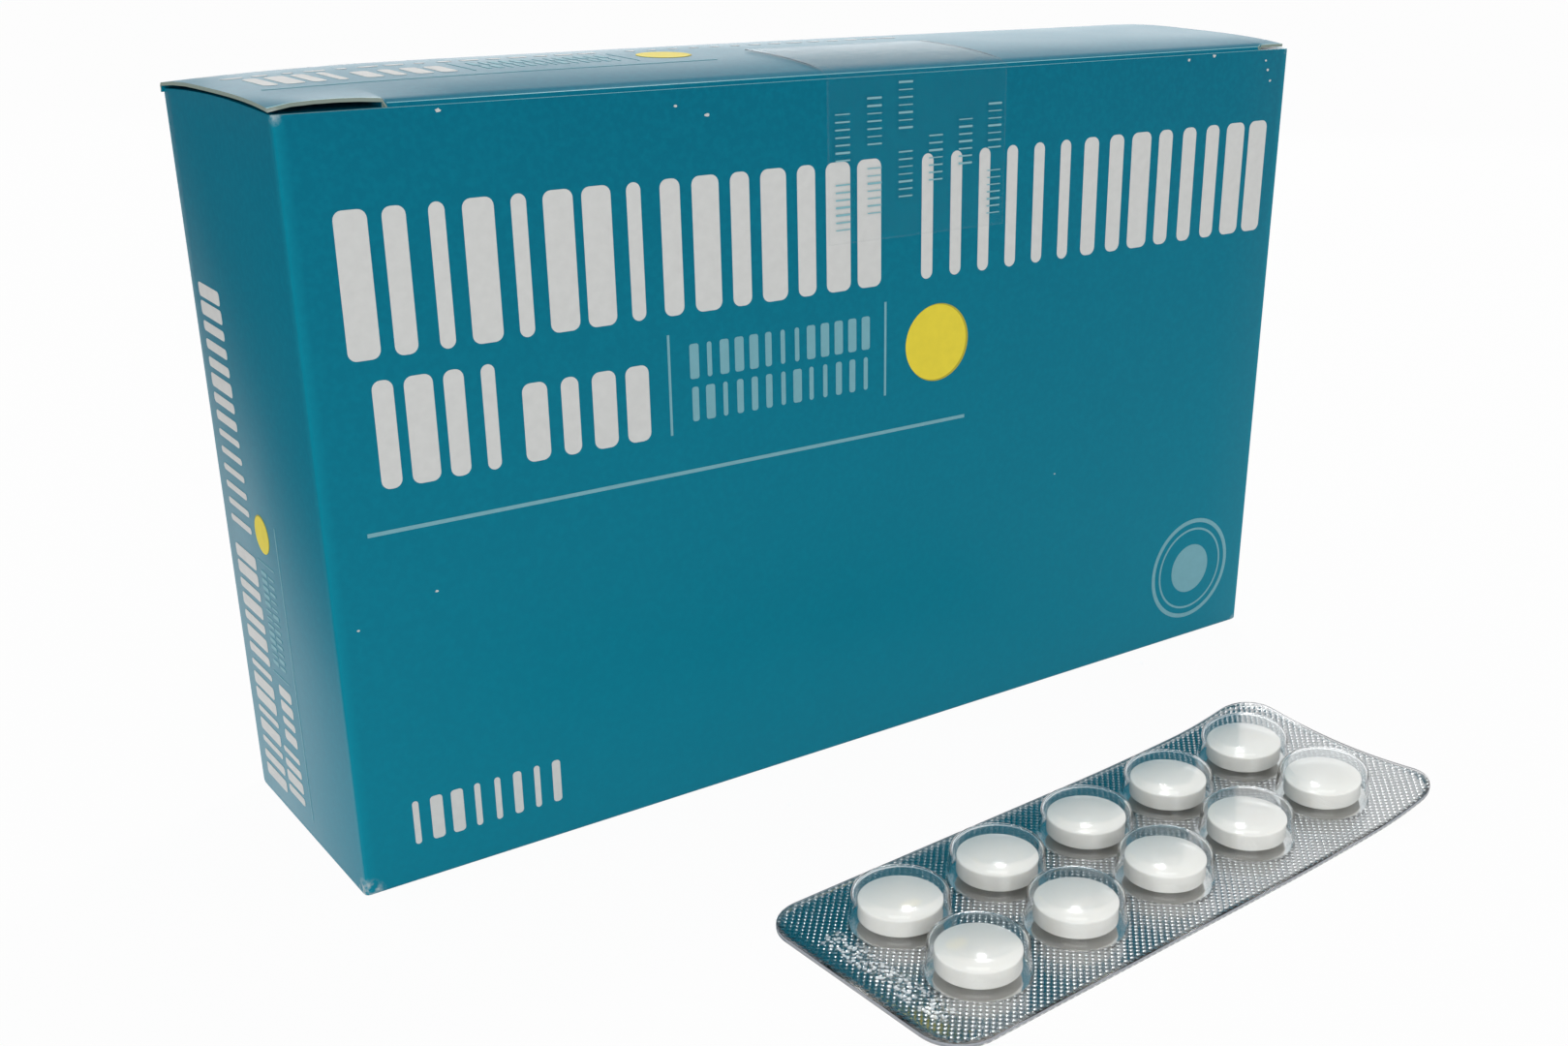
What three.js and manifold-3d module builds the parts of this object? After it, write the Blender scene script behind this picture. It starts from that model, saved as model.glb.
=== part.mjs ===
// A box of tablets: a long folding carton, sealed shut with a piece of clear tape, and one blister
// strip of ten coated tablets that lies on the table in front of it.
// Millimetres, +Z up. X runs along the carton's long front, +Y points to its back, and the origin
// is the middle of the narrow face that the carton stands on.
import * as THREE from "three";
import { mergeVertices } from "three/addons/utils/BufferGeometryUtils.js";
import Module from "manifold-3d";

// Carton. The height is that of the front panel's cut top edge.
const CARTON_LENGTH = 134;
const CARTON_DEPTH = 33.2;
const CARTON_HEIGHT = 81.5;
const BOARD = 0.36;
const CREASE_RADIUS = 0.5;
const PANEL_BULGE = 0.45;

// Lid, hinged on the back panel and tucked in behind the front panel.
const LID_LIFT = 0.6;
const LID_CROWN = 0.6;
const LID_CROWN_AT = 0.65;
const LID_BOW = 0.3;
const LID_FOLD_RADIUS = 0.8;
const LID_HINGE_RADIUS = 0.3;
const LID_OVERHANG_LEFT = 0.2;
const LID_INSET_RIGHT = 0.9;
const FLAP_CROWN = 0.5;

// The top's back left corner has been pressed down a little, lid and walls together.
const PRESSED_DOWN = 0.9;
const PRESSED_REACH = 26;

// Slits that lock the lid: the lid's fold is cut for this length at each end and gapes there.
const SLIT_LEFT = 10.5;
const SLIT_RIGHT = 4;
const SLIT_GAPE_LEFT = 0.5;
const SLIT_GAPE_RIGHT = 0.05;
const SLIT_REACH = 8;
const SLIT_TEAR = 0.5;

// Clear tape over the front fold. Its left edge is measured from the carton's left end.
const TAPE_FROM_LEFT = 60.2;
const TAPE_WIDTH = 25.4;
const TAPE_DROP = 18;
const TAPE_ON_LID = 16;
const TAPE_THICKNESS = 0.12;

// Tablet, round with two domed faces.
const TABLET_DIAMETER = 9.1;
const TABLET_BAND = 1.6;
const TABLET_DOME = 1.0;

// Blister strip. The lift angles are those of the card's last stretches at its right end.
const STRIP_COLUMNS = 5;
const STRIP_ROWS = 2;
const STRIP_PITCH = 14.1;
const STRIP_ROW_SPACING = 12.1;
const STRIP_END_MARGIN = 11.8;
const STRIP_SIDE_MARGIN = 9.5;
const STRIP_CORNER_RADIUS = 5;
const STRIP_LIFT_DEGREES = [1, 2.2, 4.5];
const FILM_THICKNESS = 0.28;
const FOIL_THICKNESS = 0.12;
const POCKET_WALL = 0.22;
const POCKET_ROOM_SIDE = 0.55;
const POCKET_ROOM_TOP = 0.35;
const POCKET_DRAFT = 0.3;
const POCKET_SHOULDER = 1.1;
const POCKET_CROWN = 0.2;

// Where the strip lies: from the carton's front panel to the strip's middle, and its turn.
const STRIP_OFFSET_X = 5.3;
const STRIP_FROM_FRONT = 41.3;
const STRIP_TURN_DEGREES = 3.9;

// Clearance where two pieces rest on each other.
const CONTACT_GAP = 0.06;

// Fineness of the curved shapes.
const PANEL_STEPS = 8;
const LENGTH_STEPS = 14;
const LID_STEPS = 14;
const TURN_SEGMENTS = 24;
const ARC_STEPS = 4;

const HALF_LENGTH = CARTON_LENGTH / 2;
const HALF_DEPTH = CARTON_DEPTH / 2;
const LID_FRONT = -HALF_DEPTH + BOARD;
const LID_SPAN = CARTON_DEPTH - BOARD;
const LID_LEFT = -HALF_LENGTH - LID_OVERHANG_LEFT;
const LID_RIGHT = HALF_LENGTH - LID_INSET_RIGHT;

const wasm = await Module();
wasm.setup();

function solidOf(geometry) {
  const bare = geometry.clone();
  bare.deleteAttribute("normal");
  bare.deleteAttribute("uv");
  const merged = mergeVertices(bare, 1e-4);
  return new wasm.Manifold(
    new wasm.Mesh({
      numProp: 3,
      vertProperties: new Float32Array(merged.attributes.position.array),
      triVerts: new Uint32Array(merged.index.array),
    }),
  );
}

function geometryOf(solid) {
  const mesh = solid.getMesh();
  const geometry = new THREE.BufferGeometry();
  geometry.setAttribute("position", new THREE.BufferAttribute(mesh.vertProperties, 3));
  geometry.setIndex(new THREE.BufferAttribute(mesh.triVerts, 1));
  return geometry;
}

const spread = (from, to, steps) =>
  Array.from({ length: steps + 1 }, (_, i) => from + ((to - from) * i) / steps);

// An outline in (y, z) drawn out along X through the stations. The place function then moves each
// point to its true height and depth there.
function alongX(outline, stations, place = () => {}) {
  const steps = stations.length - 1;
  const shape = new THREE.Shape(outline.map(([y, z]) => new THREE.Vector2(y, z)));
  const geometry = new THREE.ExtrudeGeometry(shape, { depth: 1, steps, bevelEnabled: false });
  const position = geometry.attributes.position;
  const point = new THREE.Vector3();
  for (let i = 0; i < position.count; i++) {
    const station = stations[Math.round(position.getZ(i) * steps)];
    place(point.set(station, position.getX(i), position.getY(i)));
    position.setXYZ(i, point.x, point.y, point.z);
  }
  return geometry;
}

// The full carton pushes its wide panels out a little in the middle.
function bulge(point) {
  const along = Math.sin((Math.PI * (point.x + HALF_LENGTH)) / CARTON_LENGTH);
  const up = Math.sin(Math.PI * Math.min(point.z / CARTON_HEIGHT, 1));
  point.y += Math.max(along, 0) * up * PANEL_BULGE * Math.sign(point.y) * (point.y / HALF_DEPTH) ** 2;
}

// The four upright creases are rounded, so the section narrows towards both ends.
function narrow(point) {
  const fromEnd = Math.min(HALF_LENGTH - Math.abs(point.x), CREASE_RADIUS);
  const rise = Math.sqrt(Math.max(CREASE_RADIUS ** 2 - (CREASE_RADIUS - fromEnd) ** 2, 0));
  point.y *= (HALF_DEPTH - CREASE_RADIUS + rise) / HALF_DEPTH;
}

// Presses that corner down, less with distance from it and not at all at the base.
function press(point) {
  const near = Math.max(1 - (point.x + HALF_LENGTH) / PRESSED_REACH, 0);
  const back = Math.min(Math.max((point.y + HALF_DEPTH) / CARTON_DEPTH, 0), 1);
  point.z -= PRESSED_DOWN * near ** 2 * back * (point.z / CARTON_HEIGHT);
}

// Height of the lid's upper face above the front panel, at a distance back from the fold.
function lidFold(back) {
  const turned = 1 - Math.min(back / LID_FOLD_RADIUS, 1);
  return Math.sqrt(1 - turned ** 2);
}

function lidCrown(back) {
  const share = back / LID_SPAN;
  if (share < LID_CROWN_AT) return 1 - (1 - share / LID_CROWN_AT) ** 4;
  return 1 - ((share - LID_CROWN_AT) / (1 - LID_CROWN_AT)) ** 2;
}

const lidHeight = (back) => CARTON_HEIGHT + LID_LIFT * lidFold(back) + LID_CROWN * lidCrown(back);

// Lengthwise the lid bows up a little, and at the slits it isn't folded down but gapes.
function slitGape(x, back) {
  const ends = [
    { from: x - LID_LEFT, length: SLIT_LEFT + LID_OVERHANG_LEFT, gape: SLIT_GAPE_LEFT },
    { from: LID_RIGHT - x, length: SLIT_RIGHT, gape: SLIT_GAPE_RIGHT },
  ];
  const end = ends.find(({ from, length }) => from <= length + SLIT_TEAR / 4);
  if (!end) return 0;
  const open = Math.sqrt(Math.sin(Math.PI * Math.min(Math.max(end.from / end.length, 0), 1) * 0.9));
  const near = Math.max(1 - back / SLIT_REACH, 0) ** 2;
  return LID_LIFT * (1 - lidFold(back)) + end.gape * open * near;
}

function settleLid(point) {
  const back = Math.min(Math.max(point.y - LID_FRONT, 0), LID_SPAN);
  const along = Math.sin((Math.PI * (point.x - LID_LEFT)) / (LID_RIGHT - LID_LEFT));
  point.z += LID_BOW * Math.max(along, 0) * lidCrown(back) + slitGape(point.x, back);
}

// The tube of the carton with its base, up to the dust flaps that lie under the lid's ends.
function cartonTube() {
  const corner = (y, from) =>
    spread(from, from + Math.PI / 2, ARC_STEPS).map((angle) => [
      y + CREASE_RADIUS * Math.cos(angle),
      CREASE_RADIUS + CREASE_RADIUS * Math.sin(angle),
    ]);
  const wall = spread(CREASE_RADIUS, CARTON_HEIGHT, PANEL_STEPS).slice(1);
  const flap = spread(1, 0, LID_STEPS).map((share) => [
    LID_FRONT + LID_SPAN * share,
    CARTON_HEIGHT + FLAP_CROWN * Math.sin(Math.PI * share),
  ]);
  const outline = [
    ...corner(-HALF_DEPTH + CREASE_RADIUS, Math.PI),
    ...corner(HALF_DEPTH - CREASE_RADIUS, 1.5 * Math.PI),
    ...wall.slice(0, -1).map((z) => [HALF_DEPTH, z]),
    ...flap,
    ...wall.reverse().map((z) => [-HALF_DEPTH, z]),
  ];
  const rounding = spread(0, Math.PI / 2, ARC_STEPS - 1).map(
    (angle) => CREASE_RADIUS * (1 - Math.cos(angle)),
  );
  const stations = [
    ...rounding.map((d) => -HALF_LENGTH + d),
    ...spread(-HALF_LENGTH + CREASE_RADIUS, HALF_LENGTH - CREASE_RADIUS, LENGTH_STEPS).slice(1, -1),
    ...rounding.reverse().map((d) => HALF_LENGTH - d),
  ];
  return alongX(outline, stations, (point) => {
    bulge(point);
    narrow(point);
    press(point);
  });
}

function lidStations() {
  const left = spread(LID_LEFT, -HALF_LENGTH + SLIT_LEFT, ARC_STEPS + 1);
  const right = spread(LID_RIGHT - SLIT_RIGHT, LID_RIGHT, ARC_STEPS);
  const middle = spread(left.at(-1) + SLIT_TEAR, right[0] - SLIT_TEAR, LENGTH_STEPS);
  return { all: [...left, ...middle, ...right], folded: [left.at(-1), ...middle, right[0]] };
}

// Distances back from the fold, close together where the lid turns down.
const lidSteps = () => spread(0, 1, LID_STEPS).map((share) => LID_SPAN * share ** 2);

// The lid's board, with the turn at the back where it hangs on the back panel.
function lidBoard() {
  const top = lidSteps()
    .slice(0, -1)
    .map((back) => [LID_FRONT + back, lidHeight(back)]);
  const under = [...lidSteps().slice(0, -1), LID_SPAN - BOARD]
    .map((back) => [LID_FRONT + back, lidHeight(back) - BOARD])
    .reverse();
  const hinge = [
    [HALF_DEPTH - LID_HINGE_RADIUS, CARTON_HEIGHT + LID_LIFT],
    [HALF_DEPTH, CARTON_HEIGHT + LID_LIFT - LID_HINGE_RADIUS],
    [HALF_DEPTH, CARTON_HEIGHT - BOARD],
    [HALF_DEPTH - BOARD, CARTON_HEIGHT - BOARD],
  ];
  return alongX([...top, ...hinge, ...under], lidStations().all, (point) => {
    settleLid(point);
    press(point);
  });
}

// What lies under the folded stretch of the lid and closes the carton there.
function lidBacking() {
  const top = lidSteps()
    .slice(1, -1)
    .map((back) => [LID_FRONT + back, lidHeight(back) - BOARD / 2]);
  const foot = CARTON_HEIGHT - 2 * BOARD;
  const outline = [
    ...top,
    [HALF_DEPTH - BOARD / 2, CARTON_HEIGHT + LID_LIFT - BOARD / 2],
    [HALF_DEPTH - BOARD / 2, foot],
    [top[0][0], foot],
  ];
  return alongX(outline, lidStations().folded, (point) => {
    if (point.z > foot) settleLid(point);
    press(point);
  });
}

function carton() {
  const solid = solidOf(cartonTube()).add(solidOf(lidBacking())).add(solidOf(lidBoard()));
  return geometryOf(solid);
}

// The tape follows the front panel, turns over the fold and runs on over the lid.
function tape() {
  const front = -HALF_DEPTH - CONTACT_GAP;
  const turn = CARTON_HEIGHT + LID_LIFT * 0.4;
  const lid = [
    LID_FOLD_RADIUS,
    ...lidSteps().filter((back) => back > 1.5 * LID_FOLD_RADIUS && back < TAPE_ON_LID - 1),
    TAPE_ON_LID,
  ];
  const wall = spread(CARTON_HEIGHT - TAPE_DROP, CARTON_HEIGHT, 3);
  const inner = [
    ...wall.map((z) => [front, z]),
    [front, turn],
    ...lid.map((back) => [LID_FRONT + back, lidHeight(back) + 2 * CONTACT_GAP]),
  ];
  const outer = [
    ...wall.map((z) => [front - TAPE_THICKNESS, z]),
    [front - TAPE_THICKNESS, turn + TAPE_THICKNESS / 2],
    ...lid.map((back) => [LID_FRONT + back, lidHeight(back) + 2 * CONTACT_GAP + TAPE_THICKNESS]),
  ];
  const from = -HALF_LENGTH + TAPE_FROM_LEFT;
  return alongX([...inner, ...outer.reverse()], spread(from, from + TAPE_WIDTH, 4), (point) => {
    if (point.z > turn) settleLid(point);
    bulge(point);
  });
}

// The strip's card: stretches that bend a little upwards towards its right end.
const STRIP_LENGTH = (STRIP_COLUMNS - 1) * STRIP_PITCH + 2 * STRIP_END_MARGIN;
const STRIP_WIDTH = (STRIP_ROWS - 1) * STRIP_ROW_SPACING + 2 * STRIP_SIDE_MARGIN;
const POCKET_INSIDE = TABLET_DIAMETER / 2 + POCKET_ROOM_SIDE;
const TABLET_HEIGHT = TABLET_BAND + 2 * TABLET_DOME;
const FILM_FLOOR = FOIL_THICKNESS + CONTACT_GAP;

function stretches() {
  const lastPocketEnd = STRIP_LENGTH / 2 - STRIP_END_MARGIN + POCKET_INSIDE + 2 * POCKET_WALL;
  const secondBend = STRIP_LENGTH / 2 - STRIP_END_MARGIN - STRIP_PITCH / 2;
  const bends = [secondBend - STRIP_PITCH, secondBend, lastPocketEnd, STRIP_LENGTH / 2];
  const list = [{ x: -STRIP_LENGTH / 2, z: 0, slope: 0, to: bends[0] }];
  let z = 0;
  STRIP_LIFT_DEGREES.forEach((degrees, i) => {
    const slope = Math.tan(THREE.MathUtils.degToRad(degrees));
    list.push({ x: bends[i], z, slope, to: bends[i + 1] });
    z += slope * (bends[i + 1] - bends[i]);
  });
  return list;
}

function liftAt(x) {
  const stretch = stretches().findLast((s) => x >= s.x) ?? stretches()[0];
  return stretch.z + (x - stretch.x) * stretch.slope;
}

function card(floor, thickness) {
  const xs = [...stretches().map((s) => s.x), STRIP_LENGTH / 2];
  const band = new THREE.Shape([
    ...xs.map((x) => new THREE.Vector2(x, liftAt(x) + floor)),
    ...xs.reverse().map((x) => new THREE.Vector2(x, liftAt(x) + floor + thickness)),
  ]);
  const slab = new THREE.ExtrudeGeometry(band, { depth: STRIP_WIDTH + 2, bevelEnabled: false });
  slab.rotateX(Math.PI / 2);
  slab.translate(0, STRIP_WIDTH / 2 + 1, 0);
  const a = STRIP_LENGTH / 2 - STRIP_CORNER_RADIUS;
  const b = STRIP_WIDTH / 2 - STRIP_CORNER_RADIUS;
  const outline = new THREE.Shape();
  outline.absarc(a, b, STRIP_CORNER_RADIUS, 0, Math.PI / 2);
  outline.absarc(-a, b, STRIP_CORNER_RADIUS, Math.PI / 2, Math.PI);
  outline.absarc(-a, -b, STRIP_CORNER_RADIUS, Math.PI, 1.5 * Math.PI);
  outline.absarc(a, -b, STRIP_CORNER_RADIUS, 1.5 * Math.PI, 2 * Math.PI);
  const tall = 2 * liftAt(STRIP_LENGTH / 2) + 2 * thickness + 2;
  const blank = new THREE.ExtrudeGeometry(outline, {
    depth: tall,
    curveSegments: 2 * ARC_STEPS,
    bevelEnabled: false,
  });
  blank.translate(0, 0, -1);
  return solidOf(slab).intersect(solidOf(blank));
}

// Each place in the grid, standing square on the card's surface there.
function places() {
  const list = [];
  for (let row = 0; row < STRIP_ROWS; row++)
    for (let column = 0; column < STRIP_COLUMNS; column++) {
      const x = (column - (STRIP_COLUMNS - 1) / 2) * STRIP_PITCH;
      const y = ((STRIP_ROWS - 1) / 2 - row) * STRIP_ROW_SPACING;
      const stretch = stretches().findLast((s) => x >= s.x);
      const turned = new THREE.Matrix4().makeRotationY(-Math.atan(stretch.slope));
      list.push(turned.setPosition(x, y, liftAt(x)));
    }
  return list;
}

const lathe = (points) => {
  const outline = points.map(([r, z]) => new THREE.Vector2(r, z));
  return new THREE.LatheGeometry(outline, TURN_SEGMENTS).rotateX(Math.PI / 2);
};

// A pocket's outside or inside: leaning wall, rounded shoulder and a slightly domed top.
function pocketForm(radius, height, floor) {
  const shoulder = spread(0, Math.PI / 2, ARC_STEPS - 1).map((angle) => [
    radius - POCKET_SHOULDER * (1 - Math.cos(angle)),
    height - POCKET_SHOULDER * (1 - Math.sin(angle)),
  ]);
  return lathe([
    [0, floor],
    [radius + POCKET_DRAFT, floor],
    ...shoulder,
    [0, height + POCKET_CROWN],
  ]);
}

function film() {
  const roof = FILM_FLOOR + TABLET_HEIGHT + POCKET_ROOM_TOP;
  const outside = pocketForm(POCKET_INSIDE + POCKET_WALL, roof + POCKET_WALL, FILM_FLOOR + FILM_THICKNESS / 2);
  const inside = pocketForm(POCKET_INSIDE, roof, FILM_FLOOR - 1);
  let solid = card(FILM_FLOOR, FILM_THICKNESS);
  for (const place of places()) solid = solid.add(solidOf(outside.clone().applyMatrix4(place)));
  for (const place of places()) solid = solid.subtract(solidOf(inside.clone().applyMatrix4(place)));
  return geometryOf(solid);
}

function tablet() {
  const radius = TABLET_DIAMETER / 2;
  const low = FOIL_THICKNESS + CONTACT_GAP;
  const domeRadius = (radius ** 2 + TABLET_DOME ** 2) / (2 * TABLET_DOME);
  const dome = (r) => Math.sqrt(domeRadius ** 2 - r ** 2) - (domeRadius - TABLET_DOME);
  const rings = spread(0, radius, ARC_STEPS);
  return lathe([
    ...rings.map((r) => [r, low + TABLET_DOME - dome(r)]),
    ...rings.reverse().map((r) => [r, low + TABLET_DOME + TABLET_BAND + dome(r)]),
  ]);
}

const named = (name, geometry, material) => {
  const mesh = new THREE.Mesh(geometry, material);
  mesh.name = name;
  return mesh;
};

const paint = (color, roughness, metalness = 0) =>
  new THREE.MeshStandardMaterial({ color, roughness, metalness });
const clear = (color, roughness, opacity) =>
  new THREE.MeshStandardMaterial({ color, roughness, opacity, transparent: true });

const cardMaterial = paint(0x04687e, 0.35);
const tapeMaterial = clear(0xdfe8ea, 0.15, 0.3);
const filmMaterial = clear(0xe6eef0, 0.08, 0.35);
const foilMaterial = paint(0xb9bdc0, 0.3, 1);
const tabletMaterial = paint(0xf2f1ee, 0.45);

const strip = new THREE.Group();
strip.add(named("blister_film", film(), filmMaterial));
strip.add(named("blister_foil", geometryOf(card(0, FOIL_THICKNESS)), foilMaterial));
places().forEach((place, i) => {
  const mesh = named("tablet_" + (i + 1), tablet(), tabletMaterial);
  mesh.applyMatrix4(place);
  strip.add(mesh);
});
strip.position.set(STRIP_OFFSET_X, -HALF_DEPTH - STRIP_FROM_FRONT, 0);
strip.rotation.z = THREE.MathUtils.degToRad(STRIP_TURN_DEGREES);

const box = new THREE.Group();
box.add(named("carton", carton(), cardMaterial));
box.add(named("seal_tape", tape(), tapeMaterial));
box.add(strip);

export default box;
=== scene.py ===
# %% [markdown]
# A box of tablets, dressed in Blender.
# The pack is a long printed carton, closed with a piece of clear tape, and one blister strip of ten
# coated tablets that lies in front of it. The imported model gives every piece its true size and
# place. This script gives each one its finish, and puts a finer mesh where light needs it.

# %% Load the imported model
import math

import bmesh
import bpy
from mathutils import Matrix, Vector
from mathutils.bvhtree import BVHTree


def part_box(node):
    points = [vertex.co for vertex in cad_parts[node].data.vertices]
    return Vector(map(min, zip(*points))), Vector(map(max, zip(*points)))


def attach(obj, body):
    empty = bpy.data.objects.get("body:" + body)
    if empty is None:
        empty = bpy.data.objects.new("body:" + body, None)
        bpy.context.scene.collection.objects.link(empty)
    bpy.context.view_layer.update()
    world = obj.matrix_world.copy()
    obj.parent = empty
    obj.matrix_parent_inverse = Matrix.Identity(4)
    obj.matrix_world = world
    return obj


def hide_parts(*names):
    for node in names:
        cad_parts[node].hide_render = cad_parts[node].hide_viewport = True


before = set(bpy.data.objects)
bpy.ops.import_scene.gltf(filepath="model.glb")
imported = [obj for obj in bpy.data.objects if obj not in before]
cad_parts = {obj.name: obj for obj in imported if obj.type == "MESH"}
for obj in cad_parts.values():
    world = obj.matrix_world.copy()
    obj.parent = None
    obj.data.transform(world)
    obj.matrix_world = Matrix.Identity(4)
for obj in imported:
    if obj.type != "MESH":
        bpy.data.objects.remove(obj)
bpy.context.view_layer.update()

MM = 0.001
BODY = "root"
for left_over in ("Cube", "Light", "Camera"):
    if left_over in bpy.data.objects:
        bpy.data.objects.remove(bpy.data.objects[left_over])

# %% [markdown]
# Everything starts from a few sizes. The carton's three driving sizes are those of the real pack,
# in millimetres. The strip's pitch, turn and place are read from the tablets in the model, so the
# finer pieces land where the model has them.

# %% Driving sizes
LENGTH, DEPTH, PANEL_TOP = 134 * MM, 33.2 * MM, 81.5 * MM
LEFT, FRONT = -LENGTH / 2, -DEPTH / 2
BOARD = 0.36 * MM


def middle(node):
    low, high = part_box(node)
    return (low + high) / 2


COLUMNS, ROWS = 5, 2
row_start = middle("tablet_1")
across = middle("tablet_6") - row_start
PITCH = (middle("tablet_2") - row_start).xy.length
ROW_PITCH = across.xy.length
TURN = math.atan2(across.x, -across.y)
strip_middle = (middle("tablet_3") + middle("tablet_8")) / 2
STRIP_PLACE = Matrix.Translation((strip_middle.x, strip_middle.y, 0)) @ Matrix.Rotation(TURN, 4, "Z")
print("strip pitch", PITCH, "rows", ROW_PITCH, "turn", math.degrees(TURN))

# %% [markdown]
# The camera stands to the left of the carton and looks down on it. Its place and lens come from
# matching the carton's edges, so its axes are built from two angles and a slight roll.

# %% Camera
AZIMUTH, ELEVATION, ROLL = math.radians(37.59), math.radians(23.34), math.radians(1.0)
CAMERA_PLACE = Vector((-120.97, -182.62, 103.31)) * MM
FRAME_WIDTH, FRAME_HEIGHT = 1619, 1080
LENS_PIXELS = 1842.4
PRINCIPAL = (945.9, 652.0)


def make_camera():
    look = Vector((math.sin(AZIMUTH) * math.cos(ELEVATION), math.cos(AZIMUTH) * math.cos(ELEVATION),
                   -math.sin(ELEVATION)))
    level = look.cross(Vector((0, 0, 1))).normalized()
    rise = level.cross(look)
    right = math.cos(ROLL) * level + math.sin(ROLL) * rise
    up = math.cos(ROLL) * rise - math.sin(ROLL) * level
    camera = bpy.data.objects.new("camera", bpy.data.cameras.new("camera"))
    camera.matrix_world = Matrix.Translation(CAMERA_PLACE) @ Matrix((right, up, -look)).transposed().to_4x4()
    camera.data.sensor_width = 36
    camera.data.lens = LENS_PIXELS * 36 / FRAME_WIDTH
    camera.data.shift_x = (FRAME_WIDTH / 2 - PRINCIPAL[0]) / FRAME_WIDTH
    camera.data.shift_y = (PRINCIPAL[1] - FRAME_HEIGHT / 2) / FRAME_WIDTH
    camera.data.clip_start = 0.01
    bpy.context.scene.collection.objects.link(camera)
    bpy.context.scene.camera = camera
    return camera


camera = make_camera()
print("lens", round(camera.data.lens, 2), "mm")

# %% [markdown]
# Node trees are easier to read when a node and its links are made in one line. The first helper
# fills a node's sockets by name: another node's output is linked, and anything else becomes the
# socket's value. The second adds a node and fills it, and the rest are common steps of a finish.


# %% Helpers for node trees
def fill(tree, node, sockets):
    for name, value in dict(sockets).items():
        socket = node.inputs[name]
        if isinstance(value, bpy.types.NodeSocket):
            tree.links.new(value, socket)
        else:
            socket.default_value = value
    return node


def add(tree, kind, sockets=(), **settings):
    node = tree.nodes.new(kind)
    for name, value in settings.items():
        setattr(node, name, value)
    return fill(tree, node, sockets)


def math_node(tree, operation, a, b=0.0, c=0.0, clamp=False):
    node = add(tree, "ShaderNodeMath", {0: a, 1: b, 2: c}, operation=operation, use_clamp=clamp)
    return node.outputs[0]


def product(tree, *factors):
    result = factors[0]
    for factor in factors[1:]:
        result = math_node(tree, "MULTIPLY", result, factor)
    return result


def either(tree, a, b):
    return math_node(tree, "MAXIMUM", a, b)


def less(tree, value, limit):
    return math_node(tree, "LESS_THAN", value, limit)


def more(tree, value, limit):
    return math_node(tree, "GREATER_THAN", value, limit)


def remap(tree, value, low, high, to_low=0.0, to_high=1.0):
    """A value stretched from one range to another, and held within it."""
    limits = {"From Min": low, "From Max": high, "To Min": to_low, "To Max": to_high}
    return add(tree, "ShaderNodeMapRange", {"Value": value, **limits}).outputs["Result"]


def object_place(tree):
    return add(tree, "ShaderNodeTexCoord").outputs["Object"]


def split(tree, vector):
    return add(tree, "ShaderNodeSeparateXYZ", {"Vector": vector}).outputs


def noise(tree, place, scale, detail=2.0, distortion=0.0):
    sockets = {"Vector": place, "Scale": scale, "Detail": detail, "Distortion": distortion}
    return add(tree, "ShaderNodeTexNoise", sockets).outputs["Fac"]


def mix_colour(tree, mask, below, above):
    mix = add(tree, "ShaderNodeMix", {0: mask}, data_type="RGBA")
    first, second = (i for i, socket in enumerate(mix.inputs) if socket.type == "RGBA")
    fill(tree, mix, {first: below, second: above})
    return next(socket for socket in mix.outputs if socket.type == "RGBA")


def show_mix(tree, share, below, above):
    """Shows a mix of two shaders' outputs on the surface."""
    mix = add(tree, "ShaderNodeMixShader", {0: share, 1: below, 2: above})
    fill(tree, tree.nodes["Material Output"], {"Surface": mix.outputs[0]})


def colour(red, green, blue):
    """A colour written as 0 to 255 on a screen, as the linear values that nodes hold."""
    def linear(v):
        share = v / 255
        return share / 12.92 if share <= 0.04045 else ((share + 0.055) / 1.055) ** 2.4
    return (linear(red), linear(green), linear(blue), 1.0)


def new_material(name):
    material = bpy.data.materials.new(name)
    material.use_nodes = True
    shader = material.node_tree.nodes["Principled BSDF"]
    return material, material.node_tree, shader


# %% [markdown]
# Plain soft light. A white world fills every shadow, and the lid, seen at a low angle, mirrors it.
# A weak wide softbox far behind adds to that shine. A small one behind and above puts the little
# highlight on each tablet, and a large one stands at the front left. A lamp's strength is given as
# its brightness, where 1 is a white card.


# %% Lamps and world
def softbox(name, width, height, brightness, place, aim):
    lamp = bpy.data.lights.new(name, "AREA")
    lamp.shape = "RECTANGLE"
    lamp.size, lamp.size_y = width, height
    lamp.energy = brightness * math.pi * width * height
    stand = bpy.data.objects.new(name, lamp)
    direction = Vector(aim) - Vector(place)
    stand.location = place
    stand.rotation_euler = direction.to_track_quat("-Z", "Y").to_euler()
    bpy.context.scene.collection.objects.link(stand)


softbox("softbox_behind", 0.6, 0.08, 2.0, (0.35, 0.45, 0.13), (0, 0, 0.084))
softbox("softbox_above", 0.055, 0.055, 32.0, (0.165, 0.12, 0.45), (0, -0.05, 0))
softbox("softbox_front", 0.7, 0.6, 1.3, (-0.5, -0.65, 0.3), (0, 0, 0.03))
print("lamps", [lamp.name for lamp in bpy.data.lights])

WORLD_FILL = 0.56


def white_where_seen(tree):
    """1 for rays from the camera and for those seen in gloss or through glass, else 0."""
    path = add(tree, "ShaderNodeLightPath")
    seen = either(tree, path.outputs["Is Camera Ray"], path.outputs["Is Glossy Ray"])
    return either(tree, seen, path.outputs["Is Transmission Ray"])


def light_world():
    world = bpy.data.worlds.new("studio")
    world.use_nodes = True
    tree = world.node_tree
    lift = math_node(tree, "MULTIPLY_ADD", white_where_seen(tree), 1 - WORLD_FILL, WORLD_FILL)
    fill(tree, tree.nodes["Background"], {"Color": (1, 1, 1, 1), "Strength": lift})
    bpy.context.scene.world = world


light_world()
bpy.context.scene.view_settings.view_transform = "Standard"

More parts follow.
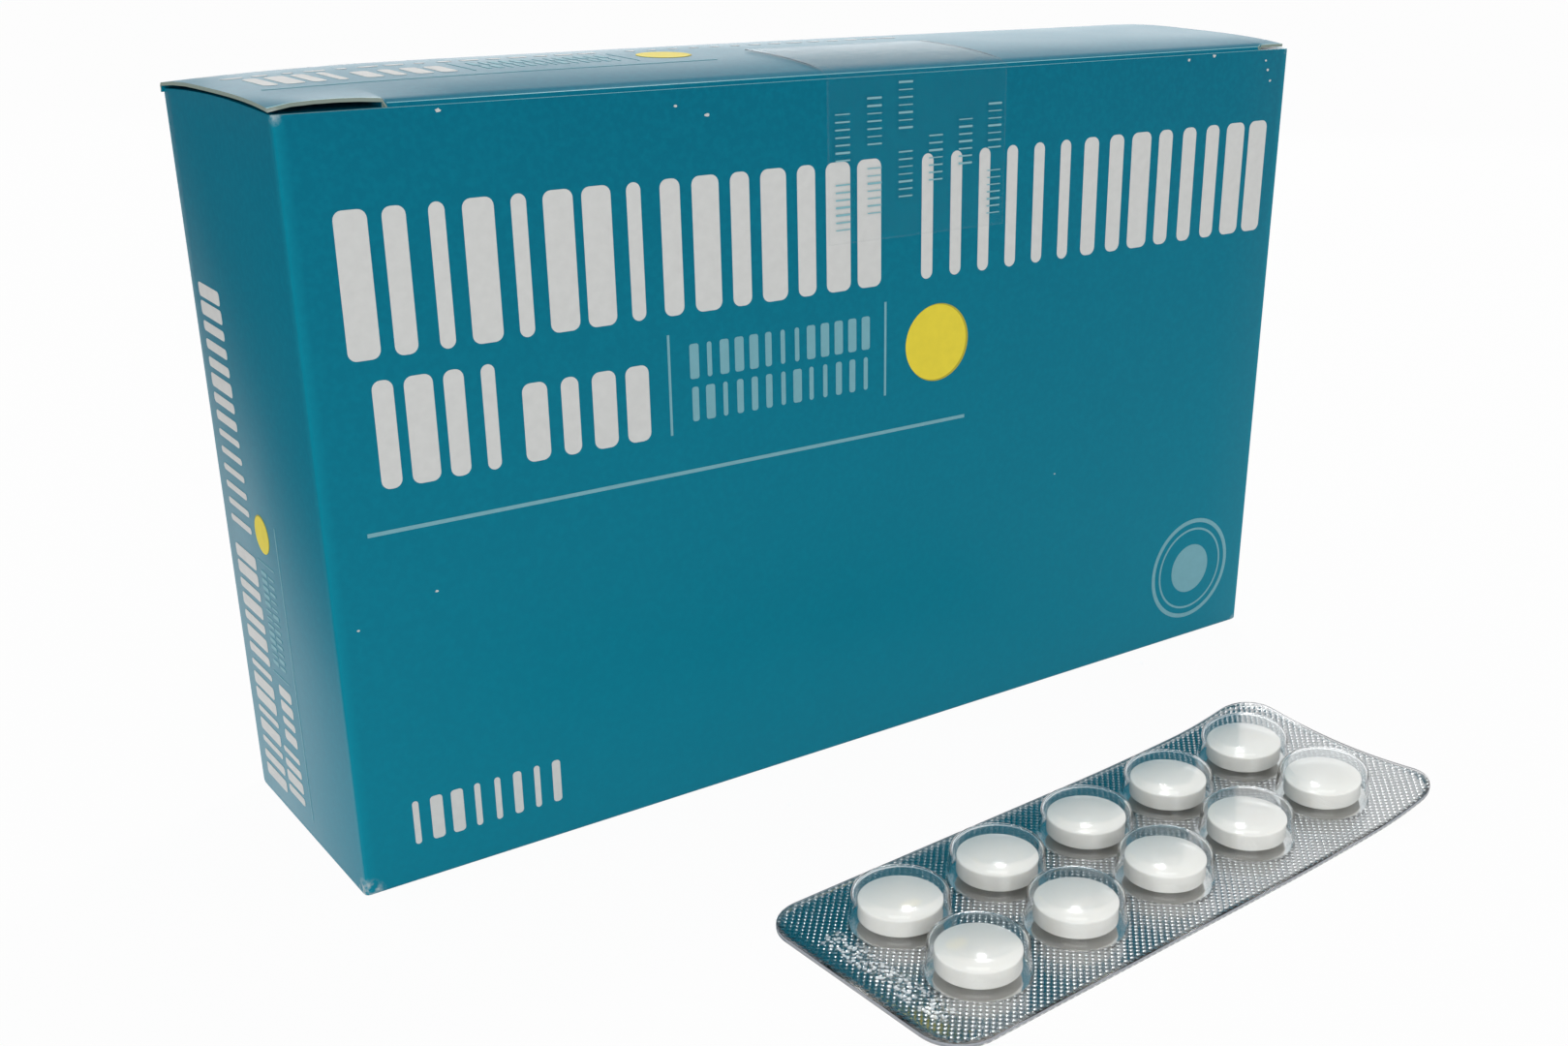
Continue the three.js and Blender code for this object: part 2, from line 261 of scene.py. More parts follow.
# %% [markdown]
# The floor is a plain white sheet. Where the camera sees it, most of its brightness comes from its
# own colour, so it meets the white world without an edge, and the rest still takes the shadows.
# The end panel mirrors the floor to its left, and that reflection is painted: close by, the floor glows
# brighter, a painted bright card, and further off it is painted dark, a painted dark room. Both are there
# only for rays that are seen in gloss.

# %% Floor
FLOOR_REACH, FLOOR_SHARE = 4.0, 0.96
PAINTED_DARK_FROM, PAINTED_DARK_TO = -0.087, -0.114
PAINTED_CARD_GAIN = 0.5
SHEET_WHITE, PAINTED_ROOM_DARK = colour(244, 244, 244), colour(40, 40, 40)
FULL_GLOW, PAINTED_DIM_GLOW = (1, 1, 1, 1), (0.05, 0.05, 0.05, 1)


def make_floor():
    mesh = bpy.data.meshes.new("floor")
    signs = [(-1, -1), (1, -1), (1, 1), (-1, 1)]
    mesh.from_pydata([(a * FLOOR_REACH, b * FLOOR_REACH, 0) for a, b in signs], [], [(0, 1, 2, 3)])
    floor = bpy.data.objects.new("floor", mesh)
    bpy.context.scene.collection.objects.link(floor)
    material, tree, shader = new_material("white sheet")
    x = split(tree, object_place(tree))[0]
    # Painted reflection: seen in gloss, the floor near the carton's left end glows brighter and further off
    # it is painted dark.
    painted_near_share = remap(tree, x, PAINTED_DARK_TO, PAINTED_DARK_FROM)
    mirrored = add(tree, "ShaderNodeLightPath").outputs["Is Glossy Ray"]
    painted_far_share = product(tree, mirrored, math_node(tree, "SUBTRACT", 1.0, painted_near_share))
    shade = mix_colour(tree, painted_far_share, SHEET_WHITE, PAINTED_ROOM_DARK)
    fill(tree, shader, {"Base Color": shade, "Roughness": 0.9, "Specular IOR Level": 0.1})
    # Painted reflection of a bright card, seen only in gloss; no card is there.
    card = product(tree, painted_near_share, less(tree, x, LEFT), mirrored)
    glow = add(tree, "ShaderNodeEmission", {
        "Color": mix_colour(tree, painted_far_share, FULL_GLOW, PAINTED_DIM_GLOW),
        "Strength": math_node(tree, "MULTIPLY_ADD", card, PAINTED_CARD_GAIN, 1.0)})
    share = product(tree, white_where_seen(tree), FLOOR_SHARE)
    show_mix(tree, share, shader.outputs[0], glow.outputs[0])
    mesh.materials.append(material)
    return floor


floor = make_floor()
print("floor", floor.name, "reaches", FLOOR_REACH)

# %% [markdown]
# Real surfaces have a grain that is too fine to model. Here it is noise at two sizes, mixed, in a
# node group, so card, ink, film and tablets can share it. The group puts out a height.


# %% Node group for fine grain
def group_of(name, inputs, outputs):
    group = bpy.data.node_groups.new(name, "ShaderNodeTree")
    for title, default in inputs:
        kind = "NodeSocketVector" if isinstance(default, tuple) else "NodeSocketFloat"
        group.interface.new_socket(name=title, in_out="INPUT", socket_type=kind).default_value = default
    for title in outputs:
        group.interface.new_socket(name=title, in_out="OUTPUT", socket_type="NodeSocketFloat")
    return group, group.nodes.new("NodeGroupInput").outputs, group.nodes.new("NodeGroupOutput").inputs


def make_fine_grain():
    inputs = [("Place", (0.0, 0.0, 0.0)), ("Grains per mm", 1.0), ("Share of coarse", 0.3)]
    group, given, put = group_of("fine grain", inputs, ["Height"])
    scale = product(group, given["Grains per mm"], 1000)
    fine = noise(group, given["Place"], scale)
    wide = noise(group, given["Place"], product(group, scale, 0.22), 1.0)
    mixed = add(group, "ShaderNodeMix", {"Factor": given["Share of coarse"], "A": fine, "B": wide})
    group.links.new(mixed.outputs["Result"], put["Height"])
    return group


FINE_GRAIN = make_fine_grain()
print("fine grain", len(FINE_GRAIN.nodes), "nodes")

# %% [markdown]
# Print rubs off at the corners of a carton first. This group puts out a mask that is strong at a
# corner and fades within a width, and noise breaks it up the way rubbed print breaks up.


# %% Node group for edge wear
def make_edge_wear():
    inputs = [("Place", (0.0, 0.0, 0.0)), ("Distance", 0.001), ("Width", 0.0004), ("Marks per mm", 1.0),
              ("Amount", 0.5)]
    group, given, put = group_of("edge wear", inputs, ["Mask"])
    share = math_node(group, "DIVIDE", given["Distance"], given["Width"])
    near = math_node(group, "SUBTRACT", 1.0, share, clamp=True)
    marks = noise(group, given["Place"], product(group, given["Marks per mm"], 1000), 3.0)
    worn = product(group, near, remap(group, marks, 0.4, 0.66))
    group.links.new(math_node(group, "MULTIPLY", worn, given["Amount"], clamp=True), put["Mask"])
    return group


EDGE_WEAR = make_edge_wear()
print("edge wear", len(EDGE_WEAR.nodes), "nodes")

# %% [markdown]
# Film and foil are sealed between rollers that press a fine diamond pattern into both. The pattern
# is a sum of two cosine waves that cross at right angles, cut off at the middle, so smooth land lies
# between the peaks. The group puts out its height, measured along the strip, so both finishes line
# up with each other and with the relief of the foil.

# %% Node group for the rollers' diamond pattern
KNURL_PITCH = 0.66 * MM


def along_strip(tree, place):
    """A place measured from the strip's middle, along the strip and across it."""
    centre = tuple(STRIP_PLACE.translation)
    turned = add(tree, "ShaderNodeVectorRotate", {"Vector": place, "Center": centre, "Angle": -TURN},
                 rotation_type="Z_AXIS").outputs[0]
    return add(tree, "ShaderNodeVectorMath", {0: turned, 1: centre}, operation="SUBTRACT").outputs[0]


def make_knurl():
    group, given, put = group_of("roller pattern", [("Place", (0.0, 0.0, 0.0))], ["Height"])
    x, y, _ = split(group, along_strip(group, given["Place"]))
    wave = 2 * math.pi / (KNURL_PITCH * math.sqrt(2))
    slants = [math_node(group, way, x, y) for way in ("ADD", "SUBTRACT")]
    waves = [math_node(group, "COSINE", product(group, slant, wave)) for slant in slants]
    group.links.new(either(group, math_node(group, "ADD", *waves), 0.0), put["Height"])
    return group


KNURL = make_knurl()
print("roller pattern", len(KNURL.nodes), "nodes, pitch", KNURL_PITCH)

# %% [markdown]
# A Bump node shades a surface as if it were raised, and moves no mesh, so detail this fine costs
# little. One bump can lie over another, as the rollers' pattern lies over the film's own grain.


# %% Bumps from a height
def bump_from(tree, height, strength, distance, under=None):
    bump = add(tree, "ShaderNodeBump", {"Strength": strength, "Distance": distance, "Height": height})
    if under:
        tree.links.new(under, bump.inputs["Normal"])
    return bump.outputs["Normal"]


def grain_normal(tree, place, per_mm, strength, coarse=0.3):
    sockets = {"Place": place, "Grains per mm": per_mm, "Share of coarse": coarse}
    grain = add(tree, "ShaderNodeGroup", sockets, node_tree=FINE_GRAIN)
    return bump_from(tree, grain.outputs["Height"], strength, 0.02 * MM)


# %% [markdown]
# The carton's card is printed teal and varnished, so it is a soft gloss over a saturated colour.
# Where the board is cut, round the lid's free ends, its grey fibres show. The front panel's top edge
# is a thin pale line, partly wear and partly a painted highlight, made bright enough to stand against
# the shade under the lid. The upright creases are a little lighter, and the corners are scuffed.
# All of it is found from the place on the carton, so it stays put.

# %% Finish of the printed card
TEAL, TEAL_PAINTED_LIGHT_LOW, TEAL_LIGHT = colour(0, 113, 139), colour(16, 134, 158), colour(10, 152, 176)
BOARD_GREY = colour(146, 160, 150)
PALE_LEDGE_AND_HIGHLIGHT = colour(168, 226, 234)
SCUFF = colour(222, 226, 224)
LID_LEFT, LID_RIGHT = LEFT - 0.2 * MM, -LEFT - 0.9 * MM
SLIT_LEFT, SLIT_RIGHT = 11.0 * MM, 4.5 * MM
CREASE_WIDTH, FACING = 1.3 * MM, 0.8
SCUFFED_CORNERS = (((LEFT, FRONT, PANEL_TOP), 1.1 * MM, 0.9), ((LEFT, FRONT, 0), 2.4 * MM, 1.5),
                   ((-LEFT, FRONT, PANEL_TOP), 1.2 * MM, 1.2), ((-LEFT, FRONT, 0), 1.4 * MM, 1.2))


def near_line(tree, first, second, spots, width):
    """1 on lines along the third axis, falling to 0 at a width from them."""
    nearest = None
    for a, b in spots:
        da, db = math_node(tree, "SUBTRACT", first, a), math_node(tree, "SUBTRACT", second, b)
        squares = math_node(tree, "ADD", product(tree, da, da), product(tree, db, db))
        distance = math_node(tree, "SQRT", squares)
        nearest = distance if nearest is None else math_node(tree, "MINIMUM", nearest, distance)
    return math_node(tree, "SUBTRACT", 1.0, math_node(tree, "DIVIDE", nearest, width), clamp=True)


def scuffed(tree, place, corner, width, amount):
    away = add(tree, "ShaderNodeVectorMath", {0: place, 1: corner}, operation="DISTANCE").outputs["Value"]
    sockets = {"Place": place, "Distance": away, "Width": width, "Marks per mm": 1.3, "Amount": amount}
    return add(tree, "ShaderNodeGroup", sockets, node_tree=EDGE_WEAR).outputs["Mask"]


def cut_board(tree, x, z, normal):
    """1 on the lid's cut edges: its two ends, and its front where the slits free it."""
    right_end = math_node(tree, "COMPARE", x, LID_RIGHT, 0.15 * MM)
    ends = either(tree, less(tree, x, LID_LEFT + 0.1 * MM), right_end)
    facing_out = more(tree, math_node(tree, "ABSOLUTE", normal[0]), FACING)
    free = either(tree, less(tree, x, LEFT + SLIT_LEFT), more(tree, x, LID_RIGHT - SLIT_RIGHT))
    front = product(tree, free, less(tree, normal[1], -FACING), more(tree, z, PANEL_TOP + 0.02 * MM))
    over_panel = more(tree, z, PANEL_TOP - 1.1 * MM)
    return product(tree, over_panel, either(tree, product(tree, ends, facing_out), front))


def card_finish():
    material, tree, shader = new_material("printed card")
    place = object_place(tree)
    x, y, z = split(tree, place)
    normal = split(tree, add(tree, "ShaderNodeNewGeometry").outputs["True Normal"])
    blotches = noise(tree, place, 60.0, 3.0)
    # The teal is painted darker at the top and lighter towards the bottom: painted shade and light for how
    # the light falls on the panels.
    ink = mix_colour(tree, remap(tree, z, PANEL_TOP, 0.0), TEAL, TEAL_PAINTED_LIGHT_LOW)
    ink = mix_colour(tree, product(tree, blotches, 0.1), ink, TEAL_LIGHT)
    specks = remap(tree, noise(tree, place, 1400.0), 0.4, 0.75, 0.0, 0.2)
    ink = mix_colour(tree, specks, ink, TEAL_LIGHT)
    uprights = [(LEFT, FRONT), (-LEFT, FRONT), (LEFT, -FRONT), (-LEFT, -FRONT)]
    creases = near_line(tree, x, y, uprights, CREASE_WIDTH)
    ink = mix_colour(tree, product(tree, creases, 0.55), ink, TEAL_LIGHT)
    cut = cut_board(tree, x, z, normal)
    ink = mix_colour(tree, cut, ink, BOARD_GREY)
    # The pale top edge is partly wear and partly a painted highlight, bright enough to stand against the
    # shade under the lid.
    edge = product(tree, less(tree, y, FRONT + 1.7 * BOARD), more(tree, normal[2], FACING))
    ink = mix_colour(tree, product(tree, edge, 0.85), ink, PALE_LEDGE_AND_HIGHLIGHT)
    for corner, width, amount in SCUFFED_CORNERS:
        ink = mix_colour(tree, scuffed(tree, place, corner, width, amount), ink, SCUFF)
    varnish = remap(tree, blotches, 0.0, 1.0, 0.27, 0.35)
    fill(tree, shader, {
        "Base Color": ink,
        "Roughness": either(tree, varnish, product(tree, cut, 0.9)),
        "Specular IOR Level": 0.07,
        "Normal": grain_normal(tree, place, 1.3, 0.3, coarse=0.4)})
    return material


# %% [markdown]
# The model's carton has the right form, but its mesh is loose flat triangles, and on the crowned
# lid those would show as facets in the shine. So a copy of it is merged, shaded smooth except at
# true edges, and stands for the node.

# %% The carton, shaded smooth
WELD = 0.002 * MM


def opened(mesh):
    work = bmesh.new()
    work.from_mesh(mesh)
    return work


def closed(work, mesh):
    work.to_mesh(mesh)
    work.free()
    return mesh


def as_object(name, mesh, material=None):
    if material:
        mesh.materials.clear()
        mesh.materials.append(material)
    piece = bpy.data.objects.new(name, mesh)
    bpy.context.scene.collection.objects.link(piece)
    return piece


def settle(piece, slot, *nodes):
    """Every piece rides on the one body, and may stand for nodes, which are hidden. The slot is not used."""
    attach(piece, BODY)
    if nodes:
        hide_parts(*nodes)
    return piece


def merged_copy(node, name, sharp_degrees, material):
    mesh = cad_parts[node].data.copy()
    mesh.name = name
    work = opened(mesh)
    bmesh.ops.remove_doubles(work, verts=work.verts, dist=WELD)
    for face in work.faces:
        face.smooth = True
    closed(work, mesh)
    if "custom_normal" in mesh.attributes:
        mesh.attributes.remove(mesh.attributes["custom_normal"])
    mesh.set_sharp_from_angle(angle=math.radians(sharp_degrees))
    return as_object(name, mesh, material)


carton = settle(merged_copy("carton", "carton_card", 28, card_finish()), "printed_card", "carton")
print("carton", len(carton.data.polygons), "faces")

# %% [markdown]
# Print is ink on the card. Each mark here is a very thin slab that lies in the varnish, half above
# and half below the surface, so it follows the panel's slight bulge and has crisp edges close up.
# The print is a plain design: rows of upright rounded bars, thin rules, one disc and a few rings.
# Rows are made by Geometry Nodes: a line of points, three bars of different width, and a seeded
# choice between them at each point.


# %% Node tree for a row of bars
def new_tree(name, inputs):
    tree = bpy.data.node_groups.new(name, "GeometryNodeTree")
    tree.is_modifier = True
    kinds = {int: "NodeSocketInt", float: "NodeSocketFloat", bpy.types.Material: "NodeSocketMaterial"}
    ids = {}
    for title, kind in inputs:
        ids[title] = tree.interface.new_socket(name=title, in_out="INPUT", socket_type=kinds[kind]).identifier
    tree.interface.new_socket(name="Geometry", in_out="OUTPUT", socket_type="NodeSocketGeometry")
    given = tree.nodes.new("NodeGroupInput").outputs
    result = tree.nodes.new("NodeGroupOutput").inputs["Geometry"]
    return tree, ids, given, result


def rounded_bar(tree, width, height, rounding):
    size = {"Width": width, "Height": height}
    shape = add(tree, "GeometryNodeCurvePrimitiveQuadrilateral", size, mode="RECTANGLE").outputs[0]
    corners = {"Curve": shape, "Radius": rounding, "Count": 5, "Limit Radius": True}
    fillet = add(tree, "GeometryNodeFilletCurve", corners, mode="POLY").outputs[0]
    return add(tree, "GeometryNodeFillCurve", {"Curve": fillet}, mode="TRIANGLES").outputs[0]


def seeded_choice(tree, seed, most):
    pick = add(tree, "FunctionNodeRandomValue", {"Seed": seed}, data_type="INT")
    next(s for s in pick.inputs if s.name == "Max" and s.enabled).default_value = most
    return next(s for s in pick.outputs if s.enabled)


def make_bar_row_tree():
    tree, ids, given, result = new_tree("bar row", [
        ("Bars", int), ("Length", float), ("Height", float), ("Thick", float), ("Rounding", float),
        ("Seed", int), ("Ink", bpy.types.Material)])
    step = math_node(tree, "DIVIDE", given["Length"], math_node(tree, "SUBTRACT", given["Bars"], 1.0))
    start = add(tree, "ShaderNodeCombineXYZ", {"X": product(tree, given["Length"], -0.5)}).outputs[0]
    offset = add(tree, "ShaderNodeCombineXYZ", {"X": step}).outputs[0]
    places = {"Count": given["Bars"], "Start Location": start, "Offset": offset}
    line = add(tree, "GeometryNodeMeshLine", places, mode="OFFSET")
    choices = add(tree, "GeometryNodeJoinGeometry")
    for share in (1.0, 0.72, 0.5):
        bar = rounded_bar(tree, product(tree, given["Thick"], share), given["Height"], given["Rounding"])
        kept = add(tree, "GeometryNodeGeometryToInstance", {"Geometry": bar})
        tree.links.new(kept.outputs[0], choices.inputs[0])
    placed = add(tree, "GeometryNodeInstanceOnPoints", {
        "Points": line.outputs[0], "Instance": choices.outputs[0], "Pick Instance": True,
        "Instance Index": seeded_choice(tree, given["Seed"], 2)})
    real = add(tree, "GeometryNodeRealizeInstances", {"Geometry": placed.outputs[0]})
    inked = add(tree, "GeometryNodeSetMaterial", {"Geometry": real.outputs[0], "Material": given["Ink"]})
    tree.links.new(inked.outputs[0], result)
    return tree, ids


BAR_ROW, BAR_ROW_IDS = make_bar_row_tree()
print("bar row", len(BAR_ROW.nodes), "nodes, inputs", list(BAR_ROW_IDS))


def evaluated_mesh(piece, name):
    """A piece's mesh with its modifiers applied, as plain data."""
    mesh = bpy.data.meshes.new_from_object(piece.evaluated_get(bpy.context.evaluated_depsgraph_get()))
    mesh.name = name
    piece.modifiers.clear()
    return mesh


def grown(tree, ids, values):
    holder = as_object("grown", bpy.data.meshes.new("grown"))
    modifier = holder.modifiers.new("tree", "NODES")
    modifier.node_group = tree
    for title, value in values.items():
        modifier[ids[title]] = value
    mesh = evaluated_mesh(holder, "grown")
    bpy.data.objects.remove(holder)
    return mesh


# %% [markdown]
# A flat design is laid on a panel by casting each of its points on to the card and keeping where
# it lands. The panel gives the direction of reading, the direction up the panel and the way out.

# %% Laying a flat design on a panel
INK_HALF = 0.03 * MM
CAST_FROM = 20 * MM
FINE_WELD = 0.0001 * MM


class Panel:
    """A face to print on: where its design starts, which way it reads, and its scale."""

    def __init__(self, carrier, corner, along, up, scale=1.0):
        work = opened(carrier.data)
        self.faces = BVHTree.FromBMesh(work)
        work.free()
        self.corner, self.along, self.up = Vector(corner), Vector(along), Vector(up)
        self.out = self.along.cross(self.up)
        self.scale = scale

    def land(self, u, v, lift):
        spot = self.corner + (self.along * u + self.up * v) * self.scale
        hit = self.faces.ray_cast(spot + self.out * CAST_FROM, -self.out)[0]
        return (hit or spot) + self.out * lift


def thicken(sheet, thickness, rim=0):
    """Gives a sheet thickness below it. The rim's faces take the material that many places on."""
    solid = sheet.modifiers.new("slab", "SOLIDIFY")
    solid.thickness, solid.offset = thickness, -1
    solid.material_offset_rim = rim
    sheet.data = evaluated_mesh(sheet, sheet.name)
    return sheet


def lay(name, panel, designs, material, slot="printed_card", half=INK_HALF):
    """Lays flat meshes on a panel as one thin closed piece. A design is (mesh, u, v) in mm, and may
    end with a turn."""
    work = bmesh.new()
    for mesh, u, v, *turn in designs:
        flat = opened(mesh)
        bmesh.ops.remove_doubles(flat, verts=flat.verts, dist=FINE_WELD)
        for face in flat.faces:
            if face.normal.z < 0:
                face.normal_flip()
        spin = Matrix.Rotation(turn[0] if turn else 0, 3, "Z")
        for vertex in flat.verts:
            place = spin @ vertex.co
            vertex.co = panel.land(place.x + u * MM, place.y + v * MM, half)
        work.from_mesh(closed(flat, mesh))
    sheet = closed(work, bpy.data.meshes.new(name))
    piece = thicken(as_object(name, sheet), 2 * half)
    piece.data.materials.clear()
    piece.data.materials.append(material)
    return settle(piece, slot)


# %% [markdown]
# Inks are a little matter than the varnish around them. Each has a trace of mottling, because ink on
# card is never quite even.


# %% Inks
def ink_finish(name, shade, mottle=0.06):
    material, tree, shader = new_material(name)
    place = object_place(tree)
    darker = tuple(c * (1 - 2 * mottle) for c in shade[:3]) + (1.0,)
    fill(tree, shader, {
        "Base Color": mix_colour(tree, noise(tree, place, 900.0), shade, darker),
        "Roughness": 0.4,
        "Specular IOR Level": 0.07,
        "Normal": grain_normal(tree, place, 1.3, 0.3)})
    return material


WHITE_INK = ink_finish("white ink", colour(231, 232, 230))
BLUE_INK = ink_finish("pale blue ink", colour(132, 188, 200))
YELLOW_INK = ink_finish("yellow ink", colour(252, 232, 76))
DEEP_YELLOW_INK = ink_finish("deep yellow ink", colour(200, 188, 66))
print("inks", [ink.name for ink in (WHITE_INK, BLUE_INK, YELLOW_INK, DEEP_YELLOW_INK)])

# %% [markdown]
# Bars grow from the node tree. Rules, rings and discs are plain meshes, made point by point, because
# they are single shapes. They are cut in short stretches, so that they can follow a bulging panel.


# %% Shapes for the print, in mm
def bars(count, length, height, thick, seed, rounding=0.9):
    return grown(BAR_ROW, BAR_ROW_IDS, {
        "Bars": count, "Length": (length - thick) * MM, "Height": height * MM, "Thick": thick * MM,
        "Rounding": rounding * MM, "Seed": seed, "Ink": WHITE_INK})


def rule(length, width, pieces=24, upright=False):
    """A thin straight line, in short stretches so that it can follow a curved panel."""
    mesh = bpy.data.meshes.new("rule")
    points = []
    for i in range(pieces + 1):
        s = length * (i / pieces - 0.5) * MM
        points += [(t * MM, s, 0) if upright else (s, t * MM, 0) for t in (-width / 2, width / 2)]
    mesh.from_pydata(points, [], [(2 * i, 2 * i + 2, 2 * i + 3, 2 * i + 1) for i in range(pieces)])
    return mesh


def ring(outer, inner, segments=64, steps=3):
    mesh = bpy.data.meshes.new("ring")
    points, faces = [], []
    for level in range(steps + 1):
        radius = (inner + (outer - inner) * level / steps) * MM
        for k in range(segments):
            angle = 2 * math.pi * k / segments
            points.append((radius * math.cos(angle), radius * math.sin(angle), 0))
    for level in range(steps):
        for k in range(segments):
            a, b = level * segments + k, level * segments + (k + 1) % segments
            faces.append((a, a + segments, b + segments, b))
    mesh.from_pydata(points, [], faces)
    return mesh


def disc(radius):
    mesh = ring(radius, radius * 0.05)
    work = opened(mesh)
    hole = [e for e in work.edges if e.is_boundary and e.verts[0].co.length < 0.1 * radius * MM]
    bmesh.ops.contextual_create(work, geom=hole)
    return closed(work, mesh)


# %% [markdown]
# The same design stands on the front panel, and smaller on the end panel, where it reads upwards,
# and on the lid. So it is one function with a panel to lie on. Its places are in millimetres from
# the front panel's lower left corner.


# %% The printed design
def print_design(panel, name, with_marks):
    white = [(bars(15, 63.1, 14.4, 3.3, 3), 36.0, 65.4), (bars(14, 58.5, 14.4, 3.3, 11), 101.8, 65.4),
             (bars(4, 14.0, 11.1, 3.0, 5), 13.0, 50.5), (bars(4, 14.7, 8.4, 2.8, 8), 29.4, 49.2)]
    blue = [(rule(11.2, 0.3, 4, True), 39.3, 50.6), (rule(11.2, 0.3, 4, True), 68.2, 50.6),
            (bars(13, 24.1, 3.9, 1.15, 2, 0.3), 53.9, 52.9), (bars(13, 24.1, 3.9, 1.15, 9, 0.3), 53.9, 48.1),
            (rule(76, 0.42), 42.4, 40.5)]
    if with_marks:
        white.append((bars(8, 18.0, 5.2, 1.4, 6, 0.4), 14.6, 7.2))
        blue += [(ring(7.5, 6.9), 123.2, 10.6), (ring(6.1, 5.8), 123.2, 10.6), (disc(3.6), 123.2, 10.6)]
    lay(name + "_white_bars", panel, white, WHITE_INK)
    lay(name + "_blue_lines", panel, blue, BLUE_INK)
    lay(name + "_disc_rim", panel, [(disc(4.7), 75.95, 50.35)], DEEP_YELLOW_INK)
    lay(name + "_disc", panel, [(disc(4.55), 75.75, 50.4)], YELLOW_INK, half=1.4 * INK_HALF)
    print(name, "print:", len(white), "rows in white,", len(blue), "pieces in blue, one disc")


UP, RIGHTWARD, BACKWARD = (0, 0, 1), (1, 0, 0), (0, 1, 0)
END_SCALE, LID_SCALE = 0.465, 0.66
front_panel = Panel(carton, (LEFT, FRONT, 0), RIGHTWARD, UP)
end_panel = Panel(carton, (LEFT, FRONT - 3.4 * MM, 0.2 * MM), UP, BACKWARD, END_SCALE)
lid_panel = Panel(carton, (LEFT, FRONT - 15.9 * MM, PANEL_TOP), RIGHTWARD, BACKWARD, LID_SCALE)
print_design(front_panel, "front", True)
print_design(end_panel, "end", False)
print_design(lid_panel, "lid", False)

# %% [markdown]
# A few specks of card show where the surface was knocked. They are tiny flakes of uneven outline,
# at the places where the real pack has them. Each is listed by its place and radius in millimetres.

# %% Chips in the print
CHIPS = [(41.4, 79.8, 0.132), (45.1, 78.7, 0.18), (11.0, 33.1, 0.12), (2.4, 30.7, 0.108),
         (120.1, 81.2, 0.18), (115.6, 80.9, 0.15), (129.8, 80.2, 0.12), (130.3, 79.0, 0.144),
         (130.9, 77.6, 0.132), (96.0, 30.0, 0.084), (15.7, 81.0, 0.18)]


def flake(radius, seed, corners=9):
    points = []
    for k in range(corners):
        reach = radius * (0.7 + 0.5 * abs(math.sin(12.9898 * (seed + 1) * (k + 1)))) * MM
        turn = 2 * math.pi * k / corners
        points.append((1.5 * reach * math.cos(turn), reach * math.sin(turn), 0))
    mesh = bpy.data.meshes.new("flake")
    mesh.from_pydata(points, [], [tuple(range(corners))])
    return mesh


flakes = [(flake(radius, seed), u, v) for seed, (u, v, radius) in enumerate(CHIPS)]
lay("chips", front_panel, flakes, ink_finish("bare card", SCUFF))
print("chips", len(CHIPS))

# %% [markdown]
# The seal is one strip of clear tape over the front fold. Clear film shows mostly by its gloss, so
# it is nearly transparent on the front panel, where there is nothing bright to mirror. On the lid it
# is painted a little whitish, a painted sheen for the light that skims over its wrinkles, and its side
# edges there are painted dark thin lines, a painted shade of the cut edge. Its edges on the front are
# hardly seen.


# %% Finish of the clear tape
def tape_finish():
    """Painted sheen and wrinkles by the place on the tape, and lines along its cut edges, painted dark on the
    lid.
    """
    low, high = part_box("seal_tape")
    material, tree, shader = new_material("clear tape")
    place = object_place(tree)
    x, y, z = split(tree, place)
    on_lid = remap(tree, y, FRONT + 0.6 * MM, FRONT + 3 * MM)
    sides = either(tree, less(tree, x, low.x + 0.22 * MM), more(tree, x, high.x - 0.15 * MM))
    rim = either(tree, sides, less(tree, z, low.z + 0.2 * MM))
    # Painted sheen on the lid, and painted shade as dark lines along the side edges there.
    painted_edge_shade = product(tree, sides, on_lid)
    painted_sheen = math_node(tree, "MULTIPLY_ADD", on_lid, 0.12, 0.006)
    lines = math_node(tree, "MULTIPLY_ADD", painted_edge_shade, 0.45, product(tree, rim, 0.025))
    stretch = add(tree, "ShaderNodeMapping", {"Vector": place, "Scale": (1.0, 0.35, 0.35)})
    crumple = noise(tree, stretch.outputs["Vector"], 800.0, 3.0, 0.6)
    calmer = remap(tree, y, FRONT, FRONT + 3.5 * MM, 1.0, 0.3)
    fill(tree, shader, {
        "Base Color": mix_colour(tree, painted_edge_shade, colour(196, 212, 218), colour(30, 74, 90)),
        "Roughness": 0.2,
        "Alpha": either(tree, painted_sheen, lines),
        "Normal": bump_from(tree, crumple, calmer, 0.14 * MM)})
    return material


tape = settle(merged_copy("seal_tape", "tape_film", 40, tape_finish()), "clear_tape", "seal_tape")
print("tape", len(tape.data.polygons), "faces")

# %% [markdown]
# The tape's own print is a repeat of thin pale strokes in slanting columns. Each mark is a short
# upright row from the same node tree, turned to run up the tape, and every next column starts a
# little higher, as on a roll that is printed at a slant.

# %% Print on the tape
TAPE_LEFT, TAPE_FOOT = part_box("seal_tape")[0].x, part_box("seal_tape")[0].z
COLUMN_STEP, MARK_STEP, SLANT_STEP, MARK_LENGTH = 4.35, 7.6, 1.5, 5.2
FIRST_COLUMN, FIRST_FOOT, TAPE_DROP = 2.0, 1.5, 17.6


def tape_marks():
    marks = []
    for column in range(6):
        for row in range(-1, 3):
            foot = FIRST_FOOT + row * MARK_STEP + column * SLANT_STEP
            if 0 < foot < TAPE_DROP - MARK_LENGTH:
                mark = bars(7, MARK_LENGTH, 2.0, 0.24, 10 * column + row + 20, 0.08)
                across = FIRST_COLUMN + column * COLUMN_STEP
                marks.append((mark, across, foot + MARK_LENGTH / 2, math.pi / 2))
    return marks


